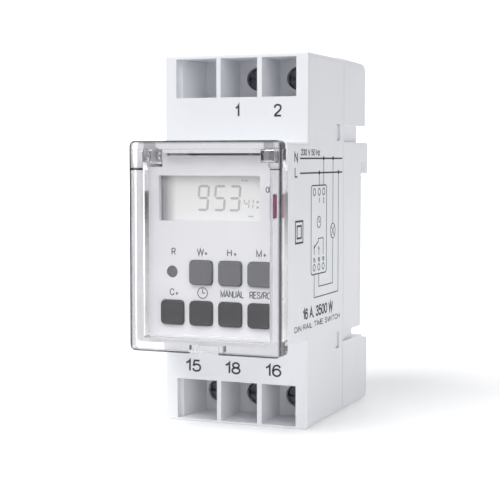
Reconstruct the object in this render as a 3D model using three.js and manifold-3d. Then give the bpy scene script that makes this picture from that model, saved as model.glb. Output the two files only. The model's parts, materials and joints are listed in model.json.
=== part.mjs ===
// A two-module digital timer switch for 35 mm DIN rail, in millimetres.
// Origin: centre of the face that rests on the rail. +X right as seen from the front,
// +Y towards the rail, +Z up. The front of the device looks along -Y.
import * as THREE from 'three';
import { mergeVertices } from 'three/addons/utils/BufferGeometryUtils.js';
import Module from 'manifold-3d';

const wasm = await Module();
wasm.setup();

// ---- Driving dimensions ----

// Casing: two 17.75 mm modules wide, with a 45 mm high nose.
const HALF_WIDTH = 17.9;
const TOP_Z = 42.8;
const TOP_SEAM_Z = 43.2;       // the top rises a little towards the joint of the two shells
const TOP_RAMP_Y = -21.5;
const TOP_REAR_Z = 42.5;
const BOTTOM_Z = -43.2;
const SHOULDER_EDGE_RADIUS = 0.7;
const SHOULDER_Y = -39.6;
const SEAM_FRONT_Y = -14.45;
const SEAM_BACK_Y = -14.15;
const NOSE_Y = -52.95;
const NOSE_HEIGHT = 22.5;
const WALL = 1.6;
const INNER_X = HALF_WIDTH - WALL;
const INNER_Z = 41;
const EDGE_RADIUS = 1.8;

// Control panel, sunk behind the rim of the nose, which is thick at the top and has a slot there.
const THICK_RIM_X = 11.8;
const THICK_RIM_Z = 20;
const RIM_SLOT_X = 11.6;
const RIM_SLOT_Z = [19.5, 20];
const PANEL_Y = -51.1;
const PANEL_BACK_Y = -49.6;
const LCD_WINDOW = [-13.7, 11.0, 4.8, 15.0];
const LED_WINDOW = [13.5, 15.3, 5.8, 11.1];
const KEY_PITCH = 7.07;
const KEY_SHIFT_X = 0.35;      // the key block sits a little right of the middle
const KEY_WIDTH = 5.5;
const KEY_HEIGHT = 5.4;
const KEY_RADIUS = 1;
const KEY_GAP = 0.15;
const UPPER_ROW_Z = -6.7;
const LOWER_ROW_Z = -15.9;
const KEY_FRONT_Y = -51.9;
const KEY_FLANGE_HALF = [3.3, 3];
const FLANGE_Y = [PANEL_BACK_Y + 0.1, PANEL_BACK_Y + 0.9];
const RESET_RADIUS = 1.375;
const RESET_X = -1.5 * KEY_PITCH + KEY_SHIFT_X / 2;

// Clear cover over the nose, and its hinge.
const COVER_X = 18.1;
const COVER_FRONT_Y = -57.5;
const COVER_BACK_Y = -53.2;
const COVER_TOP_Z = 22.75;
const COVER_BOTTOM_Z = -24.2;
const COVER_FRONT_WALL = 1.5;
const COVER_SIDE_WALL = 2.9;
const COVER_BOTTOM_WALL = 2.9;
const COVER_TOP_WALL = 1.9;
const HINGE_Y = -50;
const HINGE_Z = 19.4;
const EAR_INSIDE_X = 13.1;
const EAR_OUTSIDE_X = 15.8;
const HINGE_PIN_RADIUS = 0.85;
const HINGE_PIN_END_X = 17.05;
const SWING_CLEARANCE = 4.5;   // radius that stays free round the hinge when the cover turns

// Terminals: [name, X, side], side +1 on top and -1 at the bottom.
const TERMINALS = [
  ['1', 0.74, 1],
  ['2', 10.9, 1],
  ['15', -9.4, -1],
  ['18', 0.74, -1],
  ['16', 10.9, -1],
];
const TERMINAL_Z = 37.6;
const TOP_POCKET_Z = [32.85, 41.85];
const BOTTOM_POCKET_Z = [-42.55, -33.15];
const POCKET_BACK_Y = -27.8;
const PARTITIONS_X = [[-4.72, -3.68], [5.4, 6.56]];
const POCKET_OUTSIDE_X = 14.93;
const BAY_FRONT_Y = -26.6;
const SCREW_HOLE_RADIUS = 2.7;
const SCREW_HEAD_RADIUS = 2.4;
const SCREW_SHANK_RADIUS = 1.5;
const SCREW_FRONT_Y = -26.9;
const SCREW_HEAD_DEPTH = 1.3;
const SCREW_SLOT_DEPTH = 0.8;
const BAR_FRONT_Y = -21.3;
const BAR_THICKNESS = 0.9;
const CAGE_FRONT_Y = -22.7;
const CAGE_BACK_Y = -15.2;
const WIRE_ENTRY_Y = [-20.7, -16];
const CAGE_WALL = 1;

// Rail side.
const HOOK_BACK_Y = 5.35;
const HOOK_SLOT_Y = 2.6;
const LOWER_BLOCK_Y = 5.2;
const UPPER_BLOCK_Y = 2.95;
const PAD_HEIGHT = 0.3;
const PAD_Z = 14.5;
const SIDE_NOTCH_DEPTH = 0.9;
const CLIP_X = 7.9;
const CLIP_FRONT_Y = 1.4;
const CLIP_BACK_Y = 3.6;
const CLIP_TIP_Z = -15.5;
const CLIP_END_Z = -41.9;

// Circuit boards, their posts and screws.
const CONTROL_BOARD_Y = [-45.8, -44.2];
const CONTROL_BOARD_HALF = [15.4, 20.2];
const POWER_BOARD_Y = [-9.6, -8];
const POWER_BOARD_HALF = [15.2, 31];
const BOARD_GAP = 0.1;
const POST_RADIUS = 1.4;
const POST_BORE_RADIUS = 0.8;
const POWER_POST_X = 12.9;
const POWER_POST_Z = 18;
const POWER_POST_RADIUS = 1.9;
const BOARD_SCREW_HEAD_RADIUS = 1.5;
const BOARD_SCREW_RADIUS = 0.7;
const BOARD_SCREW_TIP_Y = -48.4;
const BOARD_SCREWS = [
  [-8, 18.6], [8, 18.6], [KEY_SHIFT_X - KEY_PITCH, -11.3], [KEY_SHIFT_X + KEY_PITCH, -11.3],
];

// ---- Shape helpers ----

// A manifold solid from a closed three.js geometry.
function solid(geometry) {
  geometry.deleteAttribute('normal');
  geometry.deleteAttribute('uv');
  const merged = mergeVertices(geometry, 1e-4);
  return new wasm.Manifold(new wasm.Mesh({
    numProp: 3,
    vertProperties: merged.attributes.position.array,
    triVerts: new Uint32Array(merged.index.array),
  }));
}

// A block between two values on each axis, in either order.
function block([x0, x1], [y0, y1], [z0, z1]) {
  const geometry = new THREE.BoxGeometry(Math.abs(x1 - x0), Math.abs(y1 - y0), Math.abs(z1 - z0));
  geometry.translate((x0 + x1) / 2, (y0 + y1) / 2, (z0 + z1) / 2);
  return solid(geometry);
}

// A round bar along an axis; a and b are its centre on the other two axes, in XYZ order.
function rod(axis, radius, from, to, a = 0, b = 0, sides = 24) {
  const geometry = new THREE.CylinderGeometry(radius, radius, Math.abs(to - from), sides);
  const middle = (from + to) / 2;
  if (axis === 'x') geometry.rotateZ(Math.PI / 2).translate(middle, a, b);
  if (axis === 'y') geometry.translate(a, middle, b);
  if (axis === 'z') geometry.rotateX(Math.PI / 2).translate(a, b, middle);
  return solid(geometry);
}

// A closed outline through corners [a, b, radius]; a corner with a radius is rounded.
function outline(corners) {
  const shape = new THREE.Shape();
  corners.forEach(([a, b, radius = 0], i) => {
    const corner = new THREE.Vector2(a, b);
    const [before, after] = [corners.at(i - 1), corners[(i + 1) % corners.length]];
    const start = new THREE.Vector2(before[0], before[1]).sub(corner).setLength(radius).add(corner);
    const end = new THREE.Vector2(after[0], after[1]).sub(corner).setLength(radius).add(corner);
    if (i === 0) shape.moveTo(start.x, start.y);
    else shape.lineTo(start.x, start.y);
    if (radius > 0) shape.quadraticCurveTo(a, b, end.x, end.y);
  });
  shape.closePath();
  return shape;
}

function rectangle([a0, a1], [b0, b1], radius = 0) {
  return outline([[a0, b0, radius], [a1, b0, radius], [a1, b1, radius], [a0, b1, radius]]);
}

// An outline pushed along an axis; it lies in the plane of the other two, in XYZ order.
function along(axis, shape, from, to, curveSegments = 6) {
  const depth = to - from;
  const geometry = new THREE.ExtrudeGeometry(shape, { depth, bevelEnabled: false, curveSegments });
  if (axis === 'x') {
    const turn = new THREE.Matrix4().makeBasis(
      new THREE.Vector3(0, 1, 0), new THREE.Vector3(0, 0, 1), new THREE.Vector3(1, 0, 0));
    geometry.applyMatrix4(turn).translate(from, 0, 0);
  }
  if (axis === 'y') geometry.rotateX(Math.PI / 2).translate(0, to, 0);
  if (axis === 'z') geometry.translate(0, 0, from);
  return solid(geometry);
}

const join = (first, ...rest) => rest.reduce((sum, piece) => sum.add(piece), first);
const cut = (first, ...rest) => rest.reduce((left, piece) => left.subtract(piece), first);
const sized = (range, side) => range.map((value) => value * side);

const device = new THREE.Group();
device.name = 'din_rail_timer';

// Adds one named piece to the device; place is where the piece's own origin lies.
function part(name, shape, material, place = [0, 0, 0]) {
  const { vertProperties, triVerts } = shape.getMesh();
  const geometry = new THREE.BufferGeometry();
  geometry.setAttribute('position', new THREE.BufferAttribute(vertProperties, 3));
  geometry.setIndex(new THREE.BufferAttribute(triVerts, 1));
  geometry.computeVertexNormals();
  const mesh = new THREE.Mesh(geometry, material);
  mesh.name = name;
  mesh.position.set(...place);
  device.add(mesh);
}

const finish = (color, roughness, metalness = 0) =>
  new THREE.MeshStandardMaterial({ color, roughness, metalness });
const casing = finish('#eff0f2', 0.45);
const clear = new THREE.MeshStandardMaterial({
  color: '#f2f4f6', roughness: 0.05, metalness: 0, transparent: true, opacity: 0.3 });
const railPlastic = finish('#e6e7ea', 0.5);
const lightKey = finish('#808084', 0.6);
const darkKey = finish('#5c5a60', 0.6);
const rubber = finish('#5f6064', 0.85);
const glass = finish('#cbcbcb', 0.15);
const redLens = finish('#a83a56', 0.25);
const laminate = finish('#2f6b45', 0.55);
const blackPlastic = finish('#1d1e20', 0.5);
const steel = finish('#b9bcbf', 0.3, 1);
const brass = finish('#c9a45c', 0.32, 1);
const tinned = finish('#c8cacc', 0.28, 1);
const copper = finish('#b4643a', 0.4, 1);
const blue = finish('#2b59a6', 0.45);
const yellow = finish('#d8b13a', 0.5);

// ---- Casing ----

// The three pockets of one end, seen from above; the left one narrows towards its back.
function pocketOutlines() {
  const mouthY = SHOULDER_Y - 1;
  const stepY = SHOULDER_Y + 2;
  const leftEnd = outline([
    [-POCKET_OUTSIDE_X, mouthY], [-POCKET_OUTSIDE_X, stepY], [-14.2, stepY],
    [-12.6, POCKET_BACK_Y], [PARTITIONS_X[0][0], POCKET_BACK_Y], [PARTITIONS_X[0][0], mouthY],
  ]);
  const middle = rectangle([PARTITIONS_X[0][1], PARTITIONS_X[1][0]], [mouthY, POCKET_BACK_Y]);
  const right = rectangle([PARTITIONS_X[1][1], POCKET_OUTSIDE_X], [mouthY, POCKET_BACK_Y]);
  return [leftEnd, middle, right];
}

// Screw pockets, screw holes, bay walls and wire entries of one end, +1 top or -1 bottom.
function terminalEnd(shell, side) {
  const pocketZ = side > 0 ? TOP_POCKET_Z : BOTTOM_POCKET_Z;
  const innerZ = Math.min(...pocketZ.map(Math.abs)) - 0.9;
  const outerZ = INNER_Z + 0.05;
  const through = [-INNER_X - 0.1, INNER_X + 0.1];
  let made = shell.add(block(through, [SHOULDER_Y + 1, BAY_FRONT_Y], sized([innerZ, outerZ], side)));
  made = made.add(block(through, [BAY_FRONT_Y - 0.1, -23], sized([innerZ, innerZ + 1], side)));
  for (const [x0, x1] of PARTITIONS_X) {
    made = made.add(block([x0, x1], [BAY_FRONT_Y - 0.1, -15.4], sized([innerZ, outerZ], side)));
  }
  for (const shape of pocketOutlines()) made = made.subtract(along('z', shape, ...pocketZ));
  for (const [, x, end] of TERMINALS) {
    if (end !== side) continue;
    made = made.subtract(rod('y', SCREW_HOLE_RADIUS, -29, -26, x, TERMINAL_Z * side, 32));
    const entry = rectangle([x - 3, x + 3], WIRE_ENTRY_Y, 0.6);
    const [entryLow, entryHigh] = sized([39, 44], side).sort((a, b) => a - b);
    made = made.subtract(along('z', entry, entryLow, entryHigh, 3));
  }
  return made;
}

function keyPlaces() {
  const columns = [-1.5, -0.5, 0.5, 1.5].map((step) => step * KEY_PITCH + KEY_SHIFT_X);
  const upper = ['week', 'hour', 'minute'].map((name, i) => [name, columns[i + 1], UPPER_ROW_Z, lightKey]);
  const lower = ['countdown', 'clock', 'manual', 'recall']
    .map((name, i) => [name, columns[i], LOWER_ROW_Z, darkKey]);
  return [...upper, ...lower];
}

const casingFace = () => rectangle([-HALF_WIDTH, HALF_WIDTH], [BOTTOM_Z, TOP_SEAM_Z], EDGE_RADIUS);

function frontHousing() {
  const side = outline([
    [SHOULDER_Y, BOTTOM_Z, SHOULDER_EDGE_RADIUS], [SEAM_FRONT_Y, BOTTOM_Z],
    [SEAM_FRONT_Y, TOP_SEAM_Z], [TOP_RAMP_Y, TOP_Z], [SHOULDER_Y, TOP_Z, SHOULDER_EDGE_RADIUS],
  ]);
  const plan = outline([
    [-HALF_WIDTH, SEAM_FRONT_Y], [-HALF_WIDTH, SHOULDER_Y, SHOULDER_EDGE_RADIUS],
    [HALF_WIDTH, SHOULDER_Y, SHOULDER_EDGE_RADIUS], [HALF_WIDTH, SEAM_FRONT_Y],
  ]);
  const face = casingFace();
  const noseFace = rectangle([-HALF_WIDTH, HALF_WIDTH], [-NOSE_HEIGHT, NOSE_HEIGHT], 1);
  const shoulders = along('x', side, -HALF_WIDTH, HALF_WIDTH)
    .intersect(along('z', plan, BOTTOM_Z, TOP_SEAM_Z))
    .intersect(along('y', face, SHOULDER_Y - 1, SEAM_FRONT_Y + 1));
  const nose = along('y', noseFace, NOSE_Y, SHOULDER_Y + 3);
  const inX = [-INNER_X, INNER_X];
  const noseInnerZ = NOSE_HEIGHT - WALL;
  let shell = cut(
    shoulders.add(nose),
    block(inX, [SHOULDER_Y + WALL, 0], [-INNER_Z, INNER_Z]),
    block(inX, [PANEL_BACK_Y, SHOULDER_Y + WALL + 0.1], [-noseInnerZ, noseInnerZ]),
    block(inX, [NOSE_Y - 1, PANEL_Y], [-noseInnerZ, noseInnerZ]),
  );
  shell = terminalEnd(terminalEnd(shell, 1), -1);
  shell = shell.add(panelBosses());
  return cutPanel(cutHinge(cutLugWindows(shell)));
}

// Thick middle of the top rim, and the posts that the control board is screwed to.
function panelBosses() {
  const rim = block([-THICK_RIM_X, THICK_RIM_X], [NOSE_Y, PANEL_BACK_Y], [THICK_RIM_Z, NOSE_HEIGHT - 0.5]);
  const boardFront = CONTROL_BOARD_Y[0];
  const posts = BOARD_SCREWS.map(([x, z]) =>
    rod('y', POST_RADIUS, PANEL_BACK_Y - 0.3, boardFront - BOARD_GAP, x, z, 16));
  const bores = BOARD_SCREWS.map(([x, z]) =>
    rod('y', POST_BORE_RADIUS, PANEL_BACK_Y + 0.4, boardFront + 1, x, z, 12));
  return cut(join(rim, ...posts), ...bores);
}

function cutPanel(shell) {
  const front = PANEL_Y - 0.5;
  const back = PANEL_BACK_Y + 0.4;
  const windows = [LCD_WINDOW, LED_WINDOW].map(([x0, x1, z0, z1]) =>
    along('y', rectangle([x0, x1], [z0, z1], 0.3), front, back, 2));
  const halfWidth = KEY_WIDTH / 2 + KEY_GAP;
  const halfHeight = KEY_HEIGHT / 2 + KEY_GAP;
  const keyHoles = keyPlaces().map(([, x, z]) => along('y', rectangle(
    [x - halfWidth, x + halfWidth], [z - halfHeight, z + halfHeight], KEY_RADIUS), front, back, 3));
  const resetHole = rod('y', RESET_RADIUS, front, back, RESET_X, UPPER_ROW_Z);
  const slot = block([-RIM_SLOT_X, RIM_SLOT_X], [front, back], RIM_SLOT_Z);
  return cut(shell, ...windows, ...keyHoles, resetHole, slot);
}

// Slots for the two ears of the cover, and the blind holes for its pins.
function cutHinge(shell) {
  for (const hand of [-1, 1]) {
    const slotX = sized([EAR_INSIDE_X - 0.35, INNER_X], hand);
    shell = cut(
      shell,
      block(slotX, [NOSE_Y - 1, PANEL_BACK_Y + 0.5], [HINGE_Z - 2.5, NOSE_HEIGHT + 1]),
      block(slotX, [NOSE_Y - 1, HINGE_Y + 2.9], [HINGE_Z, NOSE_HEIGHT + 1]),
      rod('x', HINGE_PIN_RADIUS + 0.2, ...sized([INNER_X - 0.5, HINGE_PIN_END_X + 0.2], hand), HINGE_Y, HINGE_Z),
    );
  }
  return shell;
}

const LUG_Y = [-19.5, -17.2];
const LUG_Z = [23.35, 26.75];

function cutLugWindows(shell) {
  for (const hand of [-1, 1]) {
    for (const side of [-1, 1]) {
      const window = block(sized([INNER_X - 0.5, HALF_WIDTH + 1], hand), [LUG_Y[0] - 0.25, LUG_Y[1] + 0.25],
        sized([LUG_Z[0] - 0.25, LUG_Z[1] + 0.25], side));
      shell = shell.subtract(window);
    }
  }
  return shell;
}

// The back shell: rail hook on top, clip guide at the bottom, notches between.
function rearHousing() {
  const profile = outline([
    [SEAM_BACK_Y, BOTTOM_Z], [LOWER_BLOCK_Y, BOTTOM_Z, 1], [LOWER_BLOCK_Y, -27.1, 0.5],
    [1.3, -26.7], [0.9, -26], [-4.6, -26], [-4.6, -23.5], [-PAD_HEIGHT, -23.5],
    [-PAD_HEIGHT, -PAD_Z], [0, -PAD_Z], [0, PAD_Z], [-PAD_HEIGHT, PAD_Z],
    [-PAD_HEIGHT, 17.7, 0.3], [HOOK_SLOT_Y, 17.7, 0.3], [HOOK_SLOT_Y, 15.4], [3.1, 14.9],
    [HOOK_BACK_Y, 14.9, 0.6], [HOOK_BACK_Y, 22.8, 1], [-1.6, 22.8], [-1.6, 26.9],
    [UPPER_BLOCK_Y, 26.9, 0.5], [UPPER_BLOCK_Y, TOP_REAR_Z, 2.6], [SEAM_BACK_Y, TOP_SEAM_Z],
  ]);
  const hollow = outline([
    [-16, -INNER_Z], [-0.8, -INNER_Z], [-0.8, -28.4], [-6.2, -28.4], [-6.2, -22], [-1.8, -22],
    [-1.8, 21.2], [-3.2, 21.2], [-3.2, 28.5], [1.4, 28.5], [1.4, INNER_Z], [-16, INNER_Z],
  ]);
  let shell = along('x', profile, -HALF_WIDTH, HALF_WIDTH)
    .intersect(along('y', casingFace(), SEAM_BACK_Y - 1, HOOK_BACK_Y + 1))
    .subtract(along('x', hollow, -INNER_X, INNER_X));
  for (const hand of [-1, 1]) {
    const sideX = sized([HALF_WIDTH - SIDE_NOTCH_DEPTH, HALF_WIDTH + 1], hand);
    shell = cut(shell, block(sideX, [-16, 1], [22.8, 26.9]), block(sideX, [-16, 1], [-26, -23.5]));
  }
  shell = join(shell, seamLip(), ...boardPosts(), ...snapTongues());
  return cut(
    shell,
    block([-CLIP_X - 0.3, CLIP_X + 0.3], [CLIP_FRONT_Y - 0.3, CLIP_BACK_Y + 0.3], [-50, -26]),
    block([-5.5, 5.5], [CLIP_BACK_Y, LOWER_BLOCK_Y + 1], [-50, -26]),
  );
}

// A low ring that laps inside the front shell and closes the seam.
function seamLip() {
  const lapX = INNER_X - 0.2;
  const lapZ = INNER_Z - 0.2;
  const lap = block([-lapX, lapX], [SEAM_BACK_Y - 0.9, SEAM_BACK_Y + 0.5], [-lapZ, lapZ]);
  const root = block([-INNER_X - 0.1, INNER_X + 0.1], [SEAM_BACK_Y, SEAM_BACK_Y + 1.2], [-INNER_Z - 0.1, INNER_Z + 0.1]);
  const inside = block([-lapX + 0.8, lapX - 0.8], [-20, 0], [-lapZ + 0.8, lapZ - 0.8]);
  return cut(join(lap, root), inside);
}

function boardPosts() {
  const posts = [];
  for (const x of [-POWER_POST_X, POWER_POST_X]) {
    for (const z of [-POWER_POST_Z, POWER_POST_Z]) {
      posts.push(rod('y', POWER_POST_RADIUS, -1.5, POWER_BOARD_Y[1] + BOARD_GAP, x, z, 16));
    }
  }
  return posts;
}

// Four tongues with lugs that snap into the windows of the front shell.
function snapTongues() {
  const tongues = [];
  for (const hand of [-1, 1]) {
    for (const side of [-1, 1]) {
      const z = sized([LUG_Z[0] - 0.4, LUG_Z[1] + 0.4], side);
      const tongue = block(sized([14.9, INNER_X - 0.2], hand), [-20.6, SEAM_BACK_Y + 1], z);
      const foot = block(sized([14.9, INNER_X + 0.1], hand), [SEAM_BACK_Y, SEAM_BACK_Y + 1], z);
      const lug = outline(sizedCorners([
        [15.5, LUG_Y[0]], [16.6, LUG_Y[0]], [17.5, LUG_Y[0] + 0.8], [17.5, LUG_Y[1]], [15.5, LUG_Y[1]],
      ], hand));
      const [low, high] = sized(LUG_Z, side).sort((a, b) => a - b);
      tongues.push(join(tongue, foot, along('z', lug, low, high)));
    }
  }
  return tongues;
}

const sizedCorners = (corners, hand) => corners.map(([a, b]) => [a * hand, b]);

// The clear cover: a shallow tray with two hinge ears inside its top corners.
function flipCover() {
  const face = rectangle([-COVER_X, COVER_X], [COVER_BOTTOM_Z, COVER_TOP_Z], 1.4);
  const inside = rectangle([-COVER_X + COVER_SIDE_WALL, COVER_X - COVER_SIDE_WALL],
    [COVER_BOTTOM_Z + COVER_BOTTOM_WALL, COVER_TOP_Z - COVER_TOP_WALL], 0.5);
  let cover = along('y', face, COVER_FRONT_Y, COVER_BACK_Y)
    .subtract(along('y', inside, COVER_FRONT_Y + COVER_FRONT_WALL, COVER_BACK_Y + 1, 3));
  const wide = [-COVER_X - 1, COVER_X + 1];
  cover = cut(
    cover,
    rod('x', SWING_CLEARANCE, ...wide, HINGE_Y, HINGE_Z, 48),
    block(wide, [HINGE_Y - 4.8, COVER_BACK_Y + 1], [HINGE_Z + 1.5, COVER_TOP_Z + 1]),
    block([-3.5, 3.5], [COVER_FRONT_Y - 1, COVER_FRONT_Y + 1.2], [COVER_BOTTOM_Z - 1, COVER_BOTTOM_Z + 1.9]),
  );
  for (const hand of [-1, 1]) {
    const earX = sized([EAR_INSIDE_X, EAR_OUTSIDE_X], hand).sort((a, b) => a - b);
    cover = join(
      cover,
      block(earX, [COVER_FRONT_Y + 1, HINGE_Y], [HINGE_Z - 1.4, HINGE_Z + 1.4]),
      rod('x', 1.8, ...earX, HINGE_Y, HINGE_Z),
      rod('x', HINGE_PIN_RADIUS, ...sized([EAR_INSIDE_X + 1, HINGE_PIN_END_X], hand), HINGE_Y, HINGE_Z, 16),
    );
  }
  const catchTab = block([-3.2, 3.2], [COVER_BACK_Y - 1, NOSE_Y + 2.1], [COVER_BOTTOM_Z, -NOSE_HEIGHT - 0.15]);
  return cover.add(catchTab);
}

// The sliding clip: a plate with a jaw behind the rail and a slot for a screwdriver.
function railClip() {
  const side = outline([
    [CLIP_FRONT_Y, CLIP_END_Z], [CLIP_BACK_Y, CLIP_END_Z], [CLIP_BACK_Y, CLIP_TIP_Z - 0.6],
    [CLIP_BACK_Y - 0.5, CLIP_TIP_Z], [CLIP_FRONT_Y + 0.9, CLIP_TIP_Z], [CLIP_FRONT_Y, CLIP_TIP_Z - 1.4],
  ]);
  const plate = along('x', side, -CLIP_X, CLIP_X);
  const rib = block([-5.2, 5.2], [CLIP_BACK_Y - 0.2, LOWER_BLOCK_Y - 0.3], [CLIP_END_Z, -28]);
  const toolSlot = block([-3, 3], [0, 7], [-39.8, -38.3]);
  return cut(plate.add(rib), toolSlot);
}

part('front_housing', frontHousing(), casing);
part('rear_housing', rearHousing(), casing);
part('flip_cover', flipCover(), clear);
part('rail_clip', railClip(), railPlastic);

// ---- Keys and display ----

function keyCap() {
  const cap = along('y', rectangle([-KEY_WIDTH / 2, KEY_WIDTH / 2], [-KEY_HEIGHT / 2, KEY_HEIGHT / 2], KEY_RADIUS),
    KEY_FRONT_Y, PANEL_BACK_Y + 0.3, 3);
  const [halfX, halfZ] = KEY_FLANGE_HALF;
  const flange = block([-halfX, halfX], FLANGE_Y, [-halfZ, halfZ]);
  return cap.add(flange);
}

for (const [name, x, z, material] of keyPlaces()) part('key_' + name, keyCap(), material, [x, 0, z]);

function resetPlunger() {
  const pin = rod('y', RESET_RADIUS - 0.15, PANEL_Y + 0.2, PANEL_BACK_Y + 0.3);
  return pin.add(rod('y', RESET_RADIUS + 0.6, ...FLANGE_Y));
}

part('reset_plunger', resetPlunger(), lightKey, [RESET_X, 0, UPPER_ROW_Z]);

// One silicone mat with a dome under every key, clear of the two posts that pass through it.
function keypadMat() {
  const sheetY = [-47, CONTROL_BOARD_Y[0] - BOARD_GAP];
  const [domeFront, domeTopRadius, domeRootRadius] = [-47.95, 1.6, 2.3];
  let mat = block([-14.8, 14.8], sheetY, [-19.8, -1.8]);
  const domes = [...keyPlaces(), ['reset', RESET_X, UPPER_ROW_Z]];
  for (const [, x, z] of domes) {
    const height = sheetY[0] + 0.15 - domeFront;
    const dome = new THREE.CylinderGeometry(domeRootRadius, domeTopRadius, height, 16);
    mat = mat.add(solid(dome.translate(x, domeFront + height / 2, z)));
  }
  for (const [x, z] of BOARD_SCREWS.slice(2)) mat = mat.subtract(rod('y', POST_RADIUS + 0.6, -50, -44, x, z, 16));
  return mat;
}

part('keypad_mat', keypadMat(), rubber);

const LCD_X = [-14.4, 11.7];
const LCD_Z = [3.4, 16.3];
const LCD_Y = [-49.3, -47.1];
const ZEBRA_Z = [[3.6, 5.1], [14.6, 16.1]];
const ZEBRA_X = [-12, 9.4];

function lcdHolder() {
  const frame = block([-15.4, 12.6], [-49.5, -45.9], [2.6, 16.95]);
  const pocket = block([LCD_X[0] - 0.1, LCD_X[1] + 0.1], [-50, LCD_Y[1] + 0.1], [LCD_Z[0] - 0.1, LCD_Z[1] + 0.1]);
  const slots = ZEBRA_Z.map(([low, high]) =>
    block([ZEBRA_X[0] - 0.1, ZEBRA_X[1] + 0.1], [-48, -45], [low - 0.1, high + 0.1]));
  return cut(frame, pocket, ...slots);
}

// Two glass plates with the rear one narrower, so that the contact ledge shows.
function lcdCell() {
  const front = block(LCD_X, [LCD_Y[0], -48.2], LCD_Z);
  const back = block([LCD_X[0], LCD_X[1]], [-48.25, LCD_Y[1]], [LCD_Z[0], LCD_Z[1]]);
  return front.add(back);
}

part('lcd_holder', lcdHolder(), casing);
part('lcd_cell', lcdCell(), glass);
['lower', 'upper'].forEach((name, i) =>
  part('zebra_strip_' + name, block(ZEBRA_X, [LCD_Y[1] + 0.05, -45.85], ZEBRA_Z[i]), rubber));

function indicatorLed() {
  const [x0, x1, z0, z1] = LED_WINDOW;
  const lens = block([x0 + 0.1, x1 - 0.1], [PANEL_Y - 0.3, -45.9], [z0 + 0.1, z1 - 0.1]);
  const flange = block([x0 - 0.3, x1 + 0.3], [-47.4, -45.9], [z0 - 0.3, z1 + 0.3]);
  return lens.add(flange);
}

part('indicator_led', indicatorLed(), redLens);

// ---- Control board ----

function controlBoard() {
  const [halfX, halfZ] = CONTROL_BOARD_HALF;
  const board = block([-halfX, halfX], CONTROL_BOARD_Y, [-halfZ, halfZ]);
  const holes = BOARD_SCREWS.map(([x, z]) => rod('y', BOARD_SCREW_RADIUS + 0.3, -47, -43, x, z, 12));
  return cut(board, ...holes);
}

function boardScrew() {
  const headY = [CONTROL_BOARD_Y[1] + BOARD_GAP, CONTROL_BOARD_Y[1] + 1.1];
  const head = rod('y', BOARD_SCREW_HEAD_RADIUS, ...headY, 0, 0, 16);
  const shank = rod('y', BOARD_SCREW_RADIUS, BOARD_SCREW_TIP_Y, headY[0] + 0.2, 0, 0, 10);
  const [reach, width, recessY] = [[-0.9, 0.9], [-0.2, 0.2], [headY[1] - 0.5, 0]];
  return cut(head.add(shank), block(reach, recessY, width), block(width, recessY, reach));
}

const onControlBoard = (height) => [CONTROL_BOARD_Y[1] + BOARD_GAP, CONTROL_BOARD_Y[1] + BOARD_GAP + height];

part('control_board', controlBoard(), laminate);
BOARD_SCREWS.forEach(([x, z], i) => part('board_screw_' + (i + 1), boardScrew(), steel, [x, 0, z]));
part('controller_chip', block([-5, 5], onControlBoard(1.4), [-2.5, 7.5]), blackPlastic);
part('quartz_crystal', rod('z', 1, 0, 6, 9.5, CONTROL_BOARD_Y[1] + 1.2, 16), tinned);
part('backup_battery', rod('y', 5, ...onControlBoard(5.4), 0, -14.6, 32), tinned);
part('ribbon_socket_front', block([-5, 5], onControlBoard(3.6), [13.5, 16.5]), casing);

// ---- Power board ----

function powerBoard() {
  const [halfX, halfZ] = POWER_BOARD_HALF;
  let board = block([-halfX, halfX], POWER_BOARD_Y, [-halfZ, halfZ]);
  for (const [, x, side] of TERMINALS) {
    board = board.subtract(block([x - 1.8, x + 1.8], [-11, -6], sized([27.9, 29.5], side)));
  }
  return board;
}

const onPowerBoard = (height) => [POWER_BOARD_Y[0] - BOARD_GAP - height, POWER_BOARD_Y[0] - BOARD_GAP];

// Relay: a box of 12.7 x 29 x 15.7 mm with coil, core and a hinged armature inside.
const RELAY_X = [1.65, 14.35];
const RELAY_Z = [-24, 5];
const RELAY_HEIGHT = 15.7;
const RELAY_WALL = 0.8;
const RELAY_AXIS = [8, -17.2];

function relayCover() {
  const [front, back] = onPowerBoard(RELAY_HEIGHT);
  return block(RELAY_X, [front, back], RELAY_Z).subtract(block(
    [RELAY_X[0] + RELAY_WALL, RELAY_X[1] - RELAY_WALL], [front + RELAY_WALL, back + 1],
    [RELAY_Z[0] + RELAY_WALL, RELAY_Z[1] - RELAY_WALL]));
}

function relayBase() {
  const inset = RELAY_WALL + 0.1;
  return block([RELAY_X[0] + inset, RELAY_X[1] - inset], onPowerBoard(1.6), [RELAY_Z[0] + inset, RELAY_Z[1] - inset]);
}

function relayCoil() {
  const [x, y] = RELAY_AXIS;
  const flangeX = [x - 4.7, x + 4.7];
  const flangeY = [y - 4.7, y + 4.7];
  return join(
    rod('z', 4.2, -8.6, 1.1, x, y, 24),
    block(flangeX, flangeY, [-9.6, -8.5]),
    block(flangeX, flangeY, [1, 2.1]),
    rod('z', 1.6, -10.4, 2.9, x, y, 16),
  );
}

// Pivots about X at its edge next to the relay's base, and carries the contact leaf.
function relayArmature() {
  const x = RELAY_AXIS[0];
  return join(
    block([x - 4, x + 4], [-22.6, -12], [-12, -11]),
    block([x - 1.6, x + 1.6], [-22.6, -22.2], [-20.6, -11.5]),
    rod('y', 1.1, -23, -21.5, x, -19.4, 12),
  );
}

function smoothingCapacitor() {
  const [front, back] = onPowerBoard(12);
  const can = new THREE.LatheGeometry([
    new THREE.Vector2(0, front + 0.3), new THREE.Vector2(3.2, front + 0.3), new THREE.Vector2(3.3, front),
    new THREE.Vector2(4, front + 0.6), new THREE.Vector2(4, back - 2), new THREE.Vector2(3.7, back - 1.6),
    new THREE.Vector2(4, back - 1.2), new THREE.Vector2(4, back), new THREE.Vector2(0, back),
  ], 24);
  return solid(can.translate(-9.8, 0, -7));
}

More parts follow.
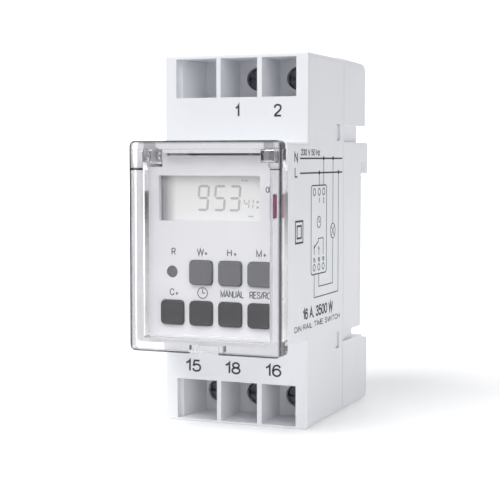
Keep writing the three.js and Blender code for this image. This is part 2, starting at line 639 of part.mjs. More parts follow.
function varistor() {
  const [front, back] = onPowerBoard(9);
  const disc = rod('x', 4.1, -4, -0.8, front + 4.1, 12, 24);
  const leads = [9.5, 14.5].map((z) => block([-2.7, -2.1], [front + 5, back], [z - 0.3, z + 0.3]));
  return join(disc, ...leads);
}

function fusibleResistor() {
  const y = POWER_BOARD_Y[0] - 2.2;
  const body = rod('z', 1.6, -23, -14, -10.5, y, 16);
  const lead = rod('z', 0.35, -25.4, -11.6, -10.5, y, 8);
  const legs = [-25.1, -11.9].map((z) => rod('y', 0.35, y, POWER_BOARD_Y[0] - BOARD_GAP, -10.5, z, 8));
  return join(body, lead, ...legs);
}

// The flat cable between the two boards, with an even bend along its length.
function ribbonCable() {
  const ends = [[-40.3, 15], [-13.4, 22]];
  const thickness = 0.9;
  const middle = (ends[0][0] + ends[1][0]) / 2;
  const shape = new THREE.Shape();
  const [[y0, z0], [y1, z1]] = ends;
  shape.moveTo(y0, z0 - thickness / 2);
  shape.bezierCurveTo(middle, z0 - thickness / 2, middle, z1 - thickness / 2, y1, z1 - thickness / 2);
  shape.lineTo(y1, z1 + thickness / 2);
  shape.bezierCurveTo(middle, z1 + thickness / 2, middle, z0 + thickness / 2, y0, z0 + thickness / 2);
  shape.closePath();
  return along('x', shape, -4, 4, 12);
}

part('power_board', powerBoard(), laminate);
part('relay_cover', relayCover(), blackPlastic);
part('relay_base', relayBase(), blackPlastic);
part('relay_coil', relayCoil(), copper);
part('relay_armature', relayArmature(), steel);
part('film_capacitor', block([-14, -8], onPowerBoard(11.3), [-2, 16]), yellow);
part('smoothing_capacitor', smoothingCapacitor(), blackPlastic);
part('varistor', varistor(), blue);
part('bridge_rectifier', block([-4.6, -0.2], onPowerBoard(3.3), [-2, 6]), blackPlastic);
part('fusible_resistor', fusibleResistor(), yellow);
part('ribbon_socket_rear', block([-5, 5], onPowerBoard(3.6), [20.5, 23.5]), casing);
part('ribbon_cable', ribbonCable(), finish('#9fa1a5', 0.6));

// ---- Terminals ----

// The screw turns in the housing, and the cage climbs it and clamps the wire on the bar.
function terminalScrew() {
  const headBack = SCREW_FRONT_Y + SCREW_HEAD_DEPTH;
  const head = rod('y', SCREW_HEAD_RADIUS, SCREW_FRONT_Y, headBack, 0, 0, 32);
  const shank = rod('y', SCREW_SHANK_RADIUS, headBack - 0.2, BAR_FRONT_Y - 0.1, 0, 0, 20);
  const slot = block([-4, 4], [SCREW_FRONT_Y - 1, SCREW_FRONT_Y + SCREW_SLOT_DEPTH], [-0.4, 0.4]);
  return cut(head.add(shank), slot);
}

function terminalCage() {
  return cut(
    block([-3.3, 3.3], [CAGE_FRONT_Y, CAGE_BACK_Y], [-3, 3]),
    block([-2.5, 2.5], [CAGE_FRONT_Y + CAGE_WALL, CAGE_BACK_Y - CAGE_WALL], [-4, 4]),
    rod('y', SCREW_SHANK_RADIUS + 0.15, CAGE_FRONT_Y - 1, CAGE_FRONT_Y + 2, 0, 0, 20),
  );
}

// From the cage towards the middle of the device, then back through the power board.
function terminalBar(side) {
  const back = BAR_FRONT_Y + BAR_THICKNESS;
  return join(
    block([-2.2, 2.2], [BAR_FRONT_Y, back], sized([28.2, 40.2], side)),
    block([-1.5, 1.5], [BAR_FRONT_Y, POWER_BOARD_Y[1] + 0.6], sized([28.2, 29.2], side)),
  );
}

for (const [name, x, side] of TERMINALS) {
  part('terminal_screw_' + name, terminalScrew(), steel, [x, 0, TERMINAL_Z * side]);
  part('terminal_cage_' + name, terminalCage(), tinned, [x, 0, TERMINAL_Z * side]);
  part('terminal_bar_' + name, terminalBar(side), brass, [x, 0, 0]);
}

export default device;
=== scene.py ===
"""Looks of a two-module digital timer switch for DIN rail, around its CAD frame."""
import json
import math

import bmesh
import bpy
from mathutils import Matrix, Vector


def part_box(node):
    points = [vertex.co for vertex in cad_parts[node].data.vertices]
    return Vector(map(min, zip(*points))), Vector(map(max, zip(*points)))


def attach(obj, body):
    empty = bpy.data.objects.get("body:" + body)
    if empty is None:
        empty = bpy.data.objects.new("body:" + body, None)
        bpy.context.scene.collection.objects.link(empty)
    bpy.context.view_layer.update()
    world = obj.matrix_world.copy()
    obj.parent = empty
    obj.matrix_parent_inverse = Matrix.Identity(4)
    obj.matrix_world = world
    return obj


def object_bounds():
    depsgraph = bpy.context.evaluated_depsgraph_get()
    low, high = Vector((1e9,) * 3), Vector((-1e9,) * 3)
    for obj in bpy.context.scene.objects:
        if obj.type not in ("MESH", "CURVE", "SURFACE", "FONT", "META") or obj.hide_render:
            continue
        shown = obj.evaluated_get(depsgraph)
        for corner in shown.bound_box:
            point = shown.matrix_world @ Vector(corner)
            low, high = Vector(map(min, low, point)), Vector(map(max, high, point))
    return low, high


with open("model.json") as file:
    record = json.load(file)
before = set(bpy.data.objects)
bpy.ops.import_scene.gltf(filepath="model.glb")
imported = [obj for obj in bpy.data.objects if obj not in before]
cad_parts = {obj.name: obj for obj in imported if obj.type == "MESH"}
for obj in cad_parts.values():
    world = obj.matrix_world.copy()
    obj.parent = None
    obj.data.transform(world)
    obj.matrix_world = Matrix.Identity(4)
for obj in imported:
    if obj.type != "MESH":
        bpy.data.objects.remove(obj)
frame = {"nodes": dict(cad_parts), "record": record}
cad_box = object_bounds()

MM = 0.001
nodes = frame["nodes"]

# Faces of the casing that carry prints, in millimetres of the row frame.
SHOULDER_SETBACK = 13.35
PANEL_BEHIND_KEYS = 0.8
NOSE_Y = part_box("front_housing")[0].y / MM
SHOULDER_Y = NOSE_Y + SHOULDER_SETBACK
PANEL_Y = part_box("key_week")[0].y / MM + PANEL_BEHIND_KEYS
SIDE_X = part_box("front_housing")[1].x / MM
LCD_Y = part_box("lcd_cell")[0].y / MM
INK_THICKNESS = 0.03
INK_LIFT = 0.004

LOWER_KEYS = ["key_countdown", "key_clock", "key_manual", "key_recall"]
RESET_X = (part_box("reset_plunger")[0].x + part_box("reset_plunger")[1].x) / 2 / MM
# Heights of the two rows of key labels, and how far the labels sit to the right of their keys.
UPPER_LABEL_Z = -2.1
LOWER_LABEL_Z = -11.3
LABEL_SHIFT = 0.4


# ---- Camera, floor and light ----

LENS_MM = 95.76
CAMERA_PLACE = (0.1194, -0.3225, 0.0190)
CAMERA_TURN_LEFT = math.radians(22.25)
CAMERA_TILT_DOWN = math.radians(3.97)


def place_camera():
    """Long lens, a little to the right of the device and slightly above its middle."""
    data = bpy.data.cameras.new("camera")
    data.sensor_width = 36
    data.lens = LENS_MM
    data.clip_start = 0.01
    camera = bpy.data.objects.new("camera", data)
    bpy.context.scene.collection.objects.link(camera)
    camera.location = CAMERA_PLACE
    camera.rotation_euler = (math.pi / 2 - CAMERA_TILT_DOWN, 0, CAMERA_TURN_LEFT)
    bpy.context.scene.camera = camera


def soft_light(name, place, aim, size, power, colour="#ffffff"):
    """A square soft box that shines from place towards aim."""
    data = bpy.data.lights.new(name, "AREA")
    data.shape = "SQUARE"
    data.size = size
    data.energy = power
    data.color = linear(colour)[:3]
    light = bpy.data.objects.new(name, data)
    bpy.context.scene.collection.objects.link(light)
    light.location = place
    light.rotation_euler = (Vector(aim) - Vector(place)).to_track_quat("-Z", "Y").to_euler()


def light_room(strength, seen_strength):
    """Soft light from the room's pale walls, which look brighter than the light that they send."""
    world = bpy.data.worlds.new("studio")
    bpy.context.scene.world = world
    world.use_nodes = True
    tree = world.node_tree
    background = tree.nodes["Background"]
    background.inputs["Color"].default_value = linear("#eef0f4")
    path = add(tree, "ShaderNodeLightPath")
    seen = add(tree, "ShaderNodeMath", {
        0: path.outputs["Is Camera Ray"], 1: path.outputs["Is Transmission Ray"]}, operation="MAXIMUM")
    level = add(tree, "ShaderNodeMapRange", {
        "Value": seen.outputs[0], "To Min": strength, "To Max": seen_strength})
    tree.links.new(level.outputs["Result"], background.inputs["Strength"])


def linear(hex_colour):
    """An sRGB hex colour as linear RGBA."""
    parts = [int(hex_colour[i:i + 2], 16) / 255 for i in (1, 3, 5)]
    return [p / 12.92 if p <= 0.04045 else ((p + 0.055) / 1.055) ** 2.4 for p in parts] + [1.0]


def mesh_object(name, vertices, faces):
    mesh = bpy.data.meshes.new(name)
    mesh.from_pydata(vertices, [], faces)
    made = bpy.data.objects.new(name, mesh)
    bpy.context.scene.collection.objects.link(made)
    return made


def lay_floor(material):
    """A paper sweep: flat under the device, then a wide curve up behind it."""
    floor_z = cad_box[0].z
    near_end, flat_to, radius, top, half = -2.0, 0.5, 0.4, 2.2, 3.0
    steps = 16
    profile = [(near_end, floor_z), (flat_to, floor_z)]
    for i in range(1, steps + 1):
        angle = math.pi / 2 * i / steps
        profile.append((flat_to + radius * math.sin(angle), floor_z + radius * (1 - math.cos(angle))))
    profile.append((flat_to + radius, top))
    vertices = [(x, y, z) for y, z in profile for x in (-half, half)]
    faces = [(2 * i, 2 * i + 1, 2 * i + 3, 2 * i + 2) for i in range(len(profile) - 1)]
    floor = mesh_object("paper_sweep", vertices, faces)
    floor.data.shade_smooth()
    floor.data.materials.append(material)


# ---- Materials ----

def add(tree, kind, inputs=None, **settings):
    """Adds a node. inputs gives each input a value or the socket that feeds it."""
    made = tree.nodes.new(kind)
    for name, value in settings.items():
        setattr(made, name, value)
    for name, value in (inputs or {}).items():
        if isinstance(value, bpy.types.NodeSocket):
            tree.links.new(value, made.inputs[name])
        else:
            made.inputs[name].default_value = value
    return made


def finish(name, hex_colour, roughness, **shader_values):
    """A new material with its Principled shader; returns the material, its tree and the shader."""
    material = bpy.data.materials.new(name)
    material.use_nodes = True
    tree = material.node_tree
    shader = tree.nodes["Principled BSDF"]
    shader.inputs["Base Color"].default_value = linear(hex_colour)
    shader.inputs["Roughness"].default_value = roughness
    for socket, value in shader_values.items():
        shader.inputs[socket.replace("_", " ")].default_value = value
    material.diffuse_color = linear(hex_colour)
    return material, tree, shader


def tint(tree, shader, dark, light, factor):
    """Base colour between two hex colours by a factor socket."""
    blend = add(tree, "ShaderNodeMix", {"Factor": factor, 6: linear(dark), 7: linear(light)},
                data_type="RGBA")
    tree.links.new(blend.outputs[2], shader.inputs["Base Color"])


def roughen(tree, shader, factor, low, high):
    spread = add(tree, "ShaderNodeMapRange", {"Value": factor, "To Min": low, "To Max": high})
    tree.links.new(spread.outputs["Result"], shader.inputs["Roughness"])


def emboss(tree, shader, height, distance_mm, strength=1.0):
    bump = add(tree, "ShaderNodeBump", {"Height": height, "Distance": distance_mm * MM, "Strength": strength})
    tree.links.new(bump.outputs["Normal"], shader.inputs["Normal"])


def grain(tree, size_mm, detail=2.0, stretch=(1, 1, 1)):
    """Noise whose features are about size_mm wide, on object coordinates; returns its factor socket."""
    coords = add(tree, "ShaderNodeTexCoord")
    spread = add(tree, "ShaderNodeMapping", {"Vector": coords.outputs["Object"], "Scale": stretch})
    noise = add(tree, "ShaderNodeTexNoise", {
        "Vector": spread.outputs["Vector"], "Scale": 1 / (size_mm * MM), "Detail": detail})
    return noise.outputs["Fac"]


def moulded_polycarbonate():
    """White flame-retardant polycarbonate; the eroded mould leaves a fine satin grain."""
    material, tree, shader = finish("moulded_polycarbonate", "#eeeff3", 0.42, IOR=1.58)
    tint(tree, shader, "#ebecf0", "#f1f2f6", grain(tree, 14, 1))
    roughen(tree, shader, grain(tree, 2.5), 0.36, 0.48)
    # The real grain is about 0.05 mm; it is drawn at 0.25 mm so that it shows.
    emboss(tree, shader, grain(tree, 0.25, 3), 0.012, 0.5)
    return material


def polished_polycarbonate():
    """Clear polycarbonate from a polished mould: sharp reflections, and a painted dark edge along its front
    rim that stands in for dark surroundings seen through the cover's edges.
    """
    material, tree, shader = finish(
        "polished_polycarbonate", "#fcfbfb", 0.02, IOR=1.52, Transmission_Weight=1.0)
    # Painted reflection: the front rim is painted near-black in place of the dark surroundings seen through
    # the cover's edges.
    tint(tree, shader, "#fcfbfb", "#1c1d21", painted_dark_rim(tree, 0.8))
    # Slow flow waves of the moulding, 9 mm apart, bend reflections a little.
    emboss(tree, shader, grain(tree, 9, 0), 0.02, 0.25)
    return let_light_through(material, tree, shader, 0.66)


def painted_dark_rim(tree, width_mm):
    """Mask of the painted dark edge: 1 along the front rim of the cover, fading to 0 within the width, on
    each face that meets it.
    """
    low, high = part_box("flip_cover")
    front_middle = ((low.x + high.x) / 2, low.y, (low.z + high.z) / 2)
    half_width, half_height = (high.x - low.x) / 2, (high.z - low.z) / 2
    coords = add(tree, "ShaderNodeTexCoord")
    offset = add(tree, "ShaderNodeVectorMath", {0: coords.outputs["Object"], 1: front_middle},
                 operation="SUBTRACT")
    reach = add(tree, "ShaderNodeVectorMath", {0: offset.outputs["Vector"]}, operation="ABSOLUTE")
    place = add(tree, "ShaderNodeSeparateXYZ", {"Vector": reach.outputs["Vector"]})
    width = width_mm * MM
    across = add(tree, "ShaderNodeMapRange", {
        "Value": place.outputs["X"], "From Min": half_width - width, "From Max": half_width - width / 3})
    along = add(tree, "ShaderNodeMapRange", {
        "Value": place.outputs["Z"], "From Min": half_height - width, "From Max": half_height - width / 3})
    depth = add(tree, "ShaderNodeMapRange", {
        "Value": place.outputs["Y"], "From Min": width * 1.6, "From Max": width * 0.8})
    outer = add(tree, "ShaderNodeMath", {0: across.outputs["Result"], 1: along.outputs["Result"]},
                operation="MAXIMUM")
    rim = add(tree, "ShaderNodeMath", {0: outer.outputs[0], 1: depth.outputs["Result"]},
              operation="MULTIPLY")
    return rim.outputs[0]


def let_light_through(material, tree, shader, share):
    """Lamps reach what lies behind the clear wall, dimmed by what its faces reflect."""
    path = add(tree, "ShaderNodeLightPath")
    opening = add(tree, "ShaderNodeBsdfTransparent", {"Color": (share, share, share, 1)})
    both = add(tree, "ShaderNodeMixShader", {
        0: path.outputs["Is Shadow Ray"], 1: shader.outputs["BSDF"], 2: opening.outputs["BSDF"]})
    output = tree.nodes["Material Output"]
    tree.links.new(both.outputs["Shader"], output.inputs["Surface"])
    return material


def moulded_polyamide():
    """Off-white glass-filled polyamide, duller than the casing."""
    material, tree, shader = finish("moulded_polyamide", "#dfe0e3", 0.55, IOR=1.53)
    tint(tree, shader, "#d9dadd", "#e4e5e8", grain(tree, 1.2, 3, (1, 1, 0.3)))
    emboss(tree, shader, grain(tree, 0.3, 3), 0.02, 0.6)
    return material


def moulded_key(name, dark, light):
    """Matt ABS key cap; the spark-eroded mould leaves a fine even grain."""
    material, tree, shader = finish(name, light, 0.5, IOR=1.54)
    tint(tree, shader, dark, light, grain(tree, 0.8, 3))
    roughen(tree, shader, grain(tree, 0.5), 0.42, 0.6)
    emboss(tree, shader, grain(tree, 0.2, 2), 0.015, 0.6)
    return material


def silicone():
    """Moulded silicone rubber with a powdery surface."""
    material, tree, shader = finish("moulded_silicone", "#5f6064", 0.8)
    tint(tree, shader, "#56575b", "#66676b", grain(tree, 0.6, 3))
    emboss(tree, shader, grain(tree, 0.25, 2), 0.02, 0.5)
    return material


def reflective_lcd():
    """LCD under a reflective polariser: silvery grey, faint vertical drag lines, and a painted shadow of the
    window's left wall along its left edge.
    """
    material, tree, shader = finish("reflective_polariser", "#f0f1f1", 0.4, IOR=1.5, Coat_Weight=0.15)
    shader.inputs["Coat Roughness"].default_value = 0.08
    coords = add(tree, "ShaderNodeTexCoord")
    across = add(tree, "ShaderNodeSeparateXYZ", {"Vector": coords.outputs["Object"]})
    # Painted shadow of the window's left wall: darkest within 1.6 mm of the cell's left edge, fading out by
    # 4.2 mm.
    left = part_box("lcd_cell")[0].x
    edge = add(tree, "ShaderNodeMapRange", {
        "Value": across.outputs["X"], "From Min": left + 1.6 * MM, "From Max": left + 4.2 * MM})
    lines = grain(tree, 0.5, 2, (1, 1, 0.02))
    streak = add(tree, "ShaderNodeMapRange", {"Value": lines, "To Min": -0.12, "To Max": 0.12})
    shade = add(tree, "ShaderNodeMath", {0: edge.outputs["Result"], 1: streak.outputs["Result"]},
                operation="ADD")
    tint(tree, shader, "#b4b5b8", "#f6f7f6", shade.outputs[0])
    return material


def liquid_crystal():
    """Driven segments: grey shadows on the silver ground."""
    material, tree, shader = finish("liquid_crystal", "#c3c4c6", 0.4, IOR=1.5)
    tint(tree, shader, "#bcbdbf", "#c6c7c9", grain(tree, 0.7))
    return material


def tinted_lens():
    """Red epoxy lens with a diffusing filler."""
    material, tree, shader = finish("tinted_epoxy", "#984a6f", 0.22, IOR=1.55)
    tint(tree, shader, "#8d3f63", "#a3557a", grain(tree, 1.5))
    emboss(tree, shader, grain(tree, 0.6), 0.01, 0.4)
    return material


def passivated_steel():
    """Zinc-plated steel, dark-passivated: grey metal with turning marks and cloudy patches."""
    material, tree, shader = finish("passivated_steel", "#606267", 0.32, Metallic=1.0)
    tint(tree, shader, "#484a4e", "#787a7f", grain(tree, 0.9, 4))
    roughen(tree, shader, grain(tree, 0.4, 3), 0.24, 0.42)
    emboss(tree, shader, grain(tree, 0.15, 2, (1, 0.1, 1)), 0.01, 0.4)
    return material


def nickel_plate():
    """Nickel-plated sheet steel, bright with soft rolling lines."""
    material, tree, shader = finish("nickel_plate", "#c6c5c0", 0.25, Metallic=1.0)
    tint(tree, shader, "#b9b8b3", "#d0cfca", grain(tree, 0.8, 3, (1, 1, 0.2)))
    roughen(tree, shader, grain(tree, 0.3, 3, (1, 1, 0.1)), 0.18, 0.34)
    return material


def rolled_brass():
    """Stamped brass strip with rolling lines along it."""
    material, tree, shader = finish("rolled_brass", "#c5a253", 0.3, Metallic=1.0)
    tint(tree, shader, "#b48f42", "#d1b068", grain(tree, 0.7, 3, (1, 1, 0.15)))
    roughen(tree, shader, grain(tree, 0.3, 3, (1, 1, 0.1)), 0.22, 0.4)
    return material


def wound_copper():
    """Enamelled copper wire wound 0.3 mm apart across the coil's axis."""
    material, tree, shader = finish("wound_copper", "#a8552c", 0.35, Metallic=1.0)
    coords = add(tree, "ShaderNodeTexCoord")
    turns = add(tree, "ShaderNodeTexWave", {
        "Vector": coords.outputs["Object"], "Scale": 1 / (0.3 * MM) / (2 * math.pi)}, bands_direction="Z")
    tint(tree, shader, "#7c3517", "#bd6738", turns.outputs["Fac"])
    emboss(tree, shader, turns.outputs["Fac"], 0.12)
    return material


def glass_epoxy_board(name, dark, light):
    """Solder mask over woven glass, with the 0.4 mm weave just showing."""
    material, tree, shader = finish(name, light, 0.3, IOR=1.55, Coat_Weight=0.3)
    coords = add(tree, "ShaderNodeTexCoord")
    weave = add(tree, "ShaderNodeTexChecker", {"Vector": coords.outputs["Object"], "Scale": 1 / (0.4 * MM)})
    tint(tree, shader, dark, light, weave.outputs["Fac"])
    emboss(tree, shader, weave.outputs["Fac"], 0.01, 0.3)
    return material


def moulded_epoxy(name, dark, light, roughness):
    """Transfer-moulded or dipped component body with a slightly uneven skin."""
    material, tree, shader = finish(name, light, roughness, IOR=1.55)
    tint(tree, shader, dark, light, grain(tree, 1.1, 3))
    emboss(tree, shader, grain(tree, 0.3, 3), 0.02, 0.5)
    return material


def pad_ink(name, hex_colour):
    """Pad-printed ink: matt, with a slightly uneven film."""
    material, tree, shader = finish(name, hex_colour, 0.6, IOR=1.5)
    roughen(tree, shader, grain(tree, 0.3, 2), 0.5, 0.7)
    emboss(tree, shader, grain(tree, 0.2, 2), 0.004, 0.4)
    return material


def seamless_paper():
    """White paper sweep. A patch behind the device glows with painted light, as if lit from behind; the near
    end is greyer.
    """
    glow_starts, glow_full = 0.03, 0.4
    weakest, strongest = 0.16, 1.0
    drift_left = 0.41
    strip_full, strip_ends = 0.34, 0.6
    height_full, height_ends = 0.22, 0.5
    grey_until, white_from = -0.26, -0.085
    material, tree, shader = finish("seamless_paper", "#fafafa", 0.9)
    shader.inputs["Emission Color"].default_value = linear("#ffffff")
    coords = add(tree, "ShaderNodeTexCoord")
    place = add(tree, "ShaderNodeSeparateXYZ", {"Vector": coords.outputs["Object"]})
    rise = add(tree, "ShaderNodeMapRange", {
        "Value": place.outputs["Y"], "From Min": glow_starts, "From Max": glow_full,
        "To Min": weakest, "To Max": strongest})
    # The glowing strip of painted light runs back and to the left.
    slanted = add(tree, "ShaderNodeMath", {0: place.outputs["Y"], 1: drift_left, 2: place.outputs["X"]},
                  operation="MULTIPLY_ADD")
    beside = add(tree, "ShaderNodeMath", {0: slanted.outputs[0]}, operation="ABSOLUTE")
    strip = add(tree, "ShaderNodeMapRange", {
        "Value": beside.outputs[0], "From Min": strip_ends, "From Max": strip_full})
    height = add(tree, "ShaderNodeMapRange", {
        "Value": place.outputs["Z"], "From Min": height_ends, "From Max": height_full})
    patch = add(tree, "ShaderNodeMath", {0: strip.outputs["Result"], 1: height.outputs["Result"]},
                operation="MULTIPLY")
    glow = add(tree, "ShaderNodeMath", {0: rise.outputs["Result"], 1: patch.outputs[0]}, operation="MULTIPLY")
    tree.links.new(glow.outputs[0], shader.inputs["Emission Strength"])
    near = add(tree, "ShaderNodeMapRange", {
        "Value": place.outputs["Y"], "From Min": grey_until, "From Max": white_from})
    tint(tree, shader, "#a6a6a8", "#fafafa", near.outputs["Result"])
    emboss(tree, shader, grain(tree, 4, 3), 0.05, 0.2)
    return material


casing = moulded_polycarbonate()
SLOT_MATERIALS = {
    "casing": casing,
    "clear_cover": polished_polycarbonate(),
    "rail_clip": moulded_polyamide(),
    "light_key": moulded_key("moulded_abs_grey", "#636468", "#6c6d71"),
    "dark_key": moulded_key("moulded_abs_dark", "#2b292e", "#353338"),
    "rubber": silicone(),
    "lcd": reflective_lcd(),
    "red_lens": tinted_lens(),
    "laminate": glass_epoxy_board("green_solder_mask", "#1b5236", "#246643"),
    "black_plastic": moulded_epoxy("moulded_epoxy_black", "#18191b", "#232427", 0.5),
    "steel": passivated_steel(),
    "brass": rolled_brass(),
    "tinned": nickel_plate(),
    "copper": wound_copper(),
    "blue_epoxy": moulded_epoxy("dipped_epoxy_blue", "#234d95", "#2f60b0", 0.3),
    "yellow_epoxy": moulded_epoxy("moulded_polyester_yellow", "#cfa62f", "#dfba43", 0.45),
    "ribbon": moulded_epoxy("extruded_pvc_grey", "#94969a", "#a8aaae", 0.5),
}
# The board behind the keys is masked white, so that the display is not tinted by it.
NODE_MATERIALS = {"control_board": glass_epoxy_board("white_solder_mask", "#c9cacc", "#d3d4d6")}
grey_ink = pad_ink("grey_pad_ink", "#6a6b70")
slate_ink = pad_ink("slate_pad_ink", "#404147")
black_ink = pad_ink("black_pad_ink", "#26272c")
segment_film = liquid_crystal()


# ---- CAD nodes: finish and rounded edges ----

EDGE_RADIUS = {
    "front_housing": 0.22, "rear_housing": 0.22, "flip_cover": 0.5, "rail_clip": 0.25,
    "reset_plunger": 0.2, "lcd_cell": 0.1, "indicator_led": 0.15,
}
KEY_EDGE = 0.3
METAL_EDGE = 0.12


def edge_radius(name):
    if name in EDGE_RADIUS:
        return EDGE_RADIUS[name]
    if name.startswith("key_"):
        return KEY_EDGE
    return METAL_EDGE


def round_edges(piece, radius_mm):
    """Merges the facets of flat faces, then rounds each edge sharper than 40 degrees."""
    weld = piece.modifiers.new("weld", "WELD")
    weld.merge_threshold = 0.001 * MM
    flats = piece.modifiers.new("flats", "DECIMATE")
    flats.decimate_type = "DISSOLVE"
    flats.angle_limit = math.radians(0.5)
    bevel = piece.modifiers.new("rounded edges", "BEVEL")
    bevel.limit_method = "ANGLE"
    bevel.angle_limit = math.radians(40)
    bevel.width = radius_mm * MM
    bevel.segments = 3
    bevel.miter_outer = "MITER_ARC"
    piece.data.shade_smooth()
    normals = piece.modifiers.new("normals", "WEIGHTED_NORMAL")
    normals.keep_sharp = True


def dress_cad_nodes():
    slots = {part["node"]: part["material_slot"] for part in frame["record"]["subparts"]}
    for name, piece in nodes.items():
        piece.data.materials.clear()
        piece.data.materials.append(NODE_MATERIALS.get(name, SLOT_MATERIALS[slots[name]]))
        round_edges(piece, edge_radius(name))


# ---- Prints ----

def front_plane(y):
    """Turns (across, up, out) in millimetres on a face that looks to the front into metres."""
    return Matrix(((MM, 0, 0, 0), (0, 0, -MM, y * MM), (0, MM, 0, 0), (0, 0, 0, 1)))


def side_plane(x):
    """The same on the right-hand side, where across runs towards the rail."""
    return Matrix(((0, 0, MM, x * MM), (MM, 0, 0, 0), (0, MM, 0, 0), (0, 0, 0, 1)))


def thicken(ink, faces):
    """Gives flat faces the thickness of the ink."""
    made = bmesh.ops.extrude_face_region(ink, geom=faces, use_keep_orig=True)
    lifted = [v for v in made["geom"] if isinstance(v, bmesh.types.BMVert)]
    bmesh.ops.translate(ink, verts=lifted, vec=(0, 0, INK_THICKNESS))


def add_line(ink, points, width, closed=False):
    """A line of even width with mitred corners."""
    count = len(points)
    rims = []
    for i, point in enumerate(points):
        here = Vector(point)
        before = Vector(points[i - 1]) if (closed or i > 0) else None
        after = Vector(points[(i + 1) % count]) if (closed or i < count - 1) else None
        way_in = (here - before).normalized() if before else (after - here).normalized()
        way_out = (after - here).normalized() if after else way_in
        normal = Vector((-(way_in + way_out).y, (way_in + way_out).x)).normalized()
        reach = width / 2 / max(0.3, normal.dot(Vector((-way_out.y, way_out.x))))
        rims.append([ink.verts.new((*(here + normal * reach * hand), 0)) for hand in (1, -1)])
    pairs = zip(rims, rims[1:] + rims[:1]) if closed else zip(rims, rims[1:])
    thicken(ink, [ink.faces.new((a[0], a[1], b[1], b[0])) for a, b in pairs])


def circle_points(centre, radius, count=28):
    return [(centre[0] + radius * math.cos(2 * math.pi * i / count),
             centre[1] + radius * math.sin(2 * math.pi * i / count)) for i in range(count)]


def add_ring(ink, centre, radius, width):
    add_line(ink, circle_points(centre, radius), width, closed=True)


def add_patch(ink, points):
    thicken(ink, [ink.faces.new([ink.verts.new((*p, 0)) for p in points])])


def smooth_path(points, closed=False, steps=5):
    """Points of a smooth curve through the given ones."""
    if closed:
        points = points[-1:] + points + points[:2]
    else:
        points = points[:1] + points + points[-1:]
    dense = []
    for a, b, c, d in zip(points, points[1:], points[2:], points[3:]):
        for i in range(steps):
            t = i / steps
            dense.append(tuple(
                0.5 * (2 * q + (r - p) * t + (2 * p - 5 * q + 4 * r - s) * t * t
                       + (3 * q - p - 3 * r + s) * t ** 3)
                for p, q, r, s in zip(a, b, c, d)))
    return dense if closed else dense + [points[-2]]


def oval(x, y, half_width, half_height):
    """A closed ring of a figure, as a stroke."""
    return "ring", [(x + half_width * math.cos(a * math.pi / 4), y + half_height * math.sin(a * math.pi / 4))
                    for a in range(8)]


